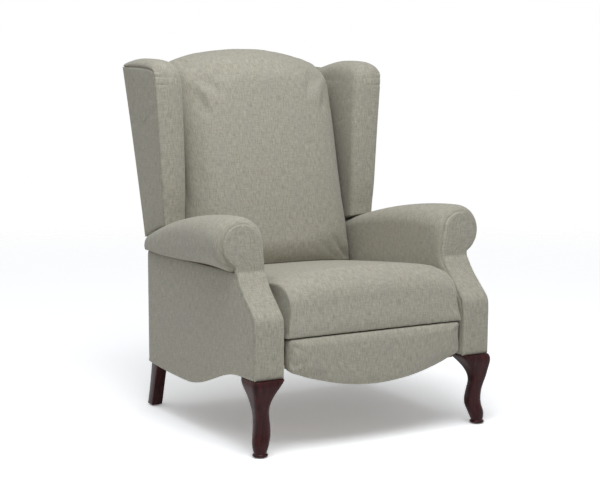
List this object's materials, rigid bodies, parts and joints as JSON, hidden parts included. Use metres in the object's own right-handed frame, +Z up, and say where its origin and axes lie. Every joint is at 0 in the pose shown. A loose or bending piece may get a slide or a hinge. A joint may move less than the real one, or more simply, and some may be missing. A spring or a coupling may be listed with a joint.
{
  "type": "wing recliner",
  "caption": "Upholstered wing recliner on cabriole front legs: the back tilts, the seat slides forward and a footrest swings out on folding scissor links.",
  "frame": {"origin": "centre of the bounding box on the floor", "axes": "+X to the viewer's right across the chair, +Y to the back, +Z up; the chair faces -Y"},
  "size_m": [0.871, 0.859, 1.0859],
  "materials": {
    "fabric": "matte heathered weave",
    "mahogany": "gloss",
    "hardwood": "matte",
    "plywood": "matte",
    "steel": "satin",
    "nylon": "matte"
  },
  "bodies": {
    "base": {"arm_board_left": "plywood", "arm_board_right": "plywood", "arm_front_posts": "hardwood", "arm_rear_posts": "hardwood", "arm_top_rails": "hardwood", "arm_roll_left": "fabric", "arm_roll_right": "fabric", "outside_arm_panel_left": "fabric", "outside_arm_panel_right": "fabric", "inside_arm_pad_left": "fabric", "inside_arm_pad_right": "fabric", "arm_facing_left": "fabric", "arm_facing_right": "fabric", "front_leg_left": "mahogany", "front_leg_right": "mahogany", "rear_leg_left": "mahogany", "rear_leg_right": "mahogany", "leg_bolts": "steel", "leg_glides": "nylon", "base_cross_rail": "hardwood", "base_rear_rail": "hardwood", "lower_rear_panel": "fabric", "seat_tracks": "steel", "back_pivot_bracket_left": "steel", "back_pivot_bracket_right": "steel", "back_pivot_bolts": "steel"},
    "back": {"back_post_left": "hardwood", "back_post_right": "hardwood", "back_top_rail": "hardwood", "back_bottom_rail": "hardwood", "back_springs": "steel", "back_cushion": "fabric", "wing_board_left": "plywood", "wing_board_right": "plywood", "wing_cleats": "hardwood", "wing_pad_left": "fabric", "wing_pad_right": "fabric", "wing_panel_left": "fabric", "wing_panel_right": "fabric", "outside_back_panel": "fabric", "back_bracket_left": "steel", "back_bracket_right": "steel"},
    "seat": {"seat_front_rail": "hardwood", "seat_rear_rail": "hardwood", "seat_side_rails": "hardwood", "seat_slide_left": "steel", "seat_slide_right": "steel", "scissor_guides": "steel", "glide_blocks": "nylon", "seat_springs": "steel", "seat_cushion": "fabric"},
    "link_a": {"scissor_link_a": "steel"},
    "link_b": {"scissor_link_b": "steel"},
    "link_c": {"scissor_link_c": "steel"},
    "link_d": {"scissor_link_d": "steel"},
    "link_e": {"scissor_link_e": "steel"},
    "link_f": {"scissor_link_f": "steel"},
    "footrest": {"footrest_board": "plywood", "footrest_pad": "fabric", "footrest_brackets": "steel"}
  },
  "joints": [
    {"name": "back_recline", "type": "hinge", "parent": "base", "child": "back", "pos_m": [0, 0.23804, 0.4], "axis": [-1, 0, 0], "range_deg": [0, 30]},
    {"name": "seat_slide", "type": "slide", "parent": "base", "child": "seat", "axis": [0, -0.9848, 0.1736], "range_m": [0, 0.063]},
    {"name": "link_a_turn", "type": "hinge", "parent": "seat", "child": "link_a", "pos_m": [0, -0.21796, 0.282], "axis": [-1, 0, 0], "range_deg": [0, 56]},
    {"name": "link_b_turn", "type": "hinge", "parent": "link_a", "child": "link_b", "pos_m": [0, -0.24207, 0.23257], "axis": [1, 0, 0], "range_deg": [0, 112]},
    {"name": "link_c_turn", "type": "hinge", "parent": "link_b", "child": "link_c", "pos_m": [0, -0.25906, 0.28487], "axis": [-1, 0, 0], "range_deg": [0, 112]},
    {"name": "link_d_turn", "type": "hinge", "parent": "link_a", "child": "link_d", "pos_m": [0, -0.26618, 0.18313], "axis": [1, 0, 0], "range_deg": [0, 112]},
    {"name": "link_e_turn", "type": "hinge", "parent": "link_d", "child": "link_e", "pos_m": [0, -0.30017, 0.28775], "axis": [-1, 0, 0], "range_deg": [0, 112]},
    {"name": "link_f_turn", "type": "hinge", "parent": "link_e", "child": "link_f", "pos_m": [0, -0.32428, 0.23831], "axis": [1, 0, 0], "range_deg": [0, 112]},
    {"name": "footrest_turn", "type": "hinge", "parent": "link_f", "child": "footrest", "pos_m": [0, -0.34128, 0.29062], "axis": [-1, 0, 0], "range_deg": [0, 146]}
  ],
  "couplings": [
    {"joint": "seat_slide", "follows": "back_recline", "m_per_rad": 0.12032},
    {"joint": "link_a_turn", "follows": "back_recline", "ratio": 1.8667},
    {"joint": "link_b_turn", "follows": "back_recline", "ratio": 3.7333},
    {"joint": "link_c_turn", "follows": "back_recline", "ratio": 3.7333},
    {"joint": "link_d_turn", "follows": "back_recline", "ratio": 3.7333},
    {"joint": "link_e_turn", "follows": "back_recline", "ratio": 3.7333},
    {"joint": "link_f_turn", "follows": "back_recline", "ratio": 3.7333},
    {"joint": "footrest_turn", "follows": "back_recline", "ratio": 4.8667}
  ]
}
